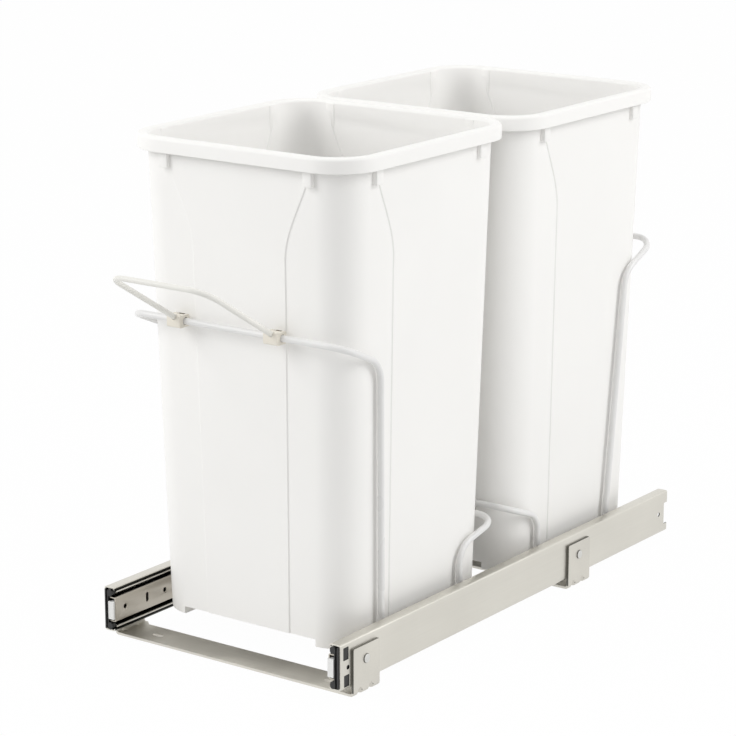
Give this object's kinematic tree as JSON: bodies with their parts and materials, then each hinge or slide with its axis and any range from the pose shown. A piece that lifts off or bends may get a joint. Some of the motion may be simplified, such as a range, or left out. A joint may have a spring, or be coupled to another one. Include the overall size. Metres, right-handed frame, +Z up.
{
  "type": "pull_out_trash_cabinet_unit",
  "caption": "Pull-out waste unit for a narrow base cabinet: open plastic bins in white wire frames on full-extension ball-bearing slides, with a folding wire handle.",
  "frame": {"origin": "middle of the underside of the front cross plate, which stands on the cabinet's floor", "axes": "+X is right seen from the front, +Y runs along the slides into the cabinet, +Z is up; the unit pulls out along -Y"},
  "size_m": [0.2762, 0.6291, 0.4685],
  "materials": {
    "slide_steel": "zinc-plated cold-rolled strip, satin with a faint warm cast",
    "rivet_steel": "plated steel, slightly brighter than the strip",
    "cage_steel": "thin bare strip with bright balls, greased",
    "black_plastic": "moulded black plastic, satin",
    "white_plastic": "moulded white plastic, satin",
    "wire_coating": "steel wire with a smooth white powder coat",
    "handle_coating": "steel wire with a smooth ivory coat",
    "clip_plastic": "moulded beige plastic",
    "bin_plastic": "moulded warm white polypropylene, fine satin"
  },
  "bodies": {
    "base": {"cross_plate_front": "slide_steel", "cross_plate_rear": "slide_steel", "rivet_front_left": "rivet_steel", "rivet_front_right": "rivet_steel", "rivet_rear_left": "rivet_steel", "rivet_rear_right": "rivet_steel", "outer_member_left": "slide_steel", "outer_member_right": "slide_steel", "front_stop_left": "black_plastic", "front_stop_right": "black_plastic"},
    "carriage": {"inner_member_left": "slide_steel", "inner_member_right": "slide_steel", "end_piece_left": "white_plastic", "end_piece_right": "white_plastic", "mounting_tab_front_left": "slide_steel", "mounting_tab_front_right": "slide_steel", "mounting_tab_rear_left": "slide_steel", "mounting_tab_rear_right": "slide_steel", "tab_screw_1_left": "rivet_steel", "tab_screw_2_left": "rivet_steel", "tab_screw_3_left": "rivet_steel", "tab_screw_4_left": "rivet_steel", "tab_screw_1_right": "rivet_steel", "tab_screw_2_right": "rivet_steel", "tab_screw_3_right": "rivet_steel", "tab_screw_4_right": "rivet_steel", "front_wire_frame": "wire_coating", "rear_wire_frame": "wire_coating", "cross_rod_front_a": "wire_coating", "cross_rod_front_b": "wire_coating", "cross_rod_rear_a": "wire_coating", "cross_rod_rear_b": "wire_coating"},
    "handle": {"handle_loop": "handle_coating", "handle_clip_left": "clip_plastic", "handle_clip_right": "clip_plastic"},
    "front_bin": {"front_bin": "bin_plastic"},
    "rear_bin": {"rear_bin": "bin_plastic"},
    "intermediate_left": {"intermediate_member_left": "slide_steel", "intermediate_bumper_left": "black_plastic"},
    "outer_cage_left": {"outer_ball_cage_left": "cage_steel"},
    "inner_cage_left": {"inner_ball_cage_left": "cage_steel"},
    "intermediate_right": {"intermediate_member_right": "slide_steel", "intermediate_bumper_right": "black_plastic"},
    "outer_cage_right": {"outer_ball_cage_right": "cage_steel"},
    "inner_cage_right": {"inner_ball_cage_right": "cage_steel"}
  },
  "joints": [
    {"name": "pull_out", "type": "slide", "parent": "base", "child": "carriage", "axis": [0, -1, 0], "range_m": [0, 0.559]},
    {"name": "intermediate_travel_left", "type": "slide", "parent": "base", "child": "intermediate_left", "axis": [0, -1, 0], "range_m": [0, 0.2795]},
    {"name": "outer_cage_travel_left", "type": "slide", "parent": "base", "child": "outer_cage_left", "axis": [0, -1, 0], "range_m": [0, 0.13975]},
    {"name": "inner_cage_travel_left", "type": "slide", "parent": "base", "child": "inner_cage_left", "axis": [0, -1, 0], "range_m": [0, 0.41925]},
    {"name": "intermediate_travel_right", "type": "slide", "parent": "base", "child": "intermediate_right", "axis": [0, -1, 0], "range_m": [0, 0.2795]},
    {"name": "outer_cage_travel_right", "type": "slide", "parent": "base", "child": "outer_cage_right", "axis": [0, -1, 0], "range_m": [0, 0.13975]},
    {"name": "inner_cage_travel_right", "type": "slide", "parent": "base", "child": "inner_cage_right", "axis": [0, -1, 0], "range_m": [0, 0.41925]},
    {"name": "handle_swing", "type": "hinge", "parent": "carriage", "child": "handle", "pos_m": [0, -0.0064, 0.307], "axis": [1, 0, 0], "range_deg": [-58, 121]},
    {"name": "front_bin_lift", "type": "slide", "parent": "carriage", "child": "front_bin", "axis": [0, 0, 1], "range_m": [0, 0.3]},
    {"name": "rear_bin_lift", "type": "slide", "parent": "carriage", "child": "rear_bin", "axis": [0, 0, 1], "range_m": [0, 0.3]}
  ],
  "couplings": [
    {"joint": "intermediate_travel_left", "follows": "pull_out", "ratio": 0.5},
    {"joint": "outer_cage_travel_left", "follows": "pull_out", "ratio": 0.25},
    {"joint": "inner_cage_travel_left", "follows": "pull_out", "ratio": 0.75},
    {"joint": "intermediate_travel_right", "follows": "pull_out", "ratio": 0.5},
    {"joint": "outer_cage_travel_right", "follows": "pull_out", "ratio": 0.25},
    {"joint": "inner_cage_travel_right", "follows": "pull_out", "ratio": 0.75}
  ]
}
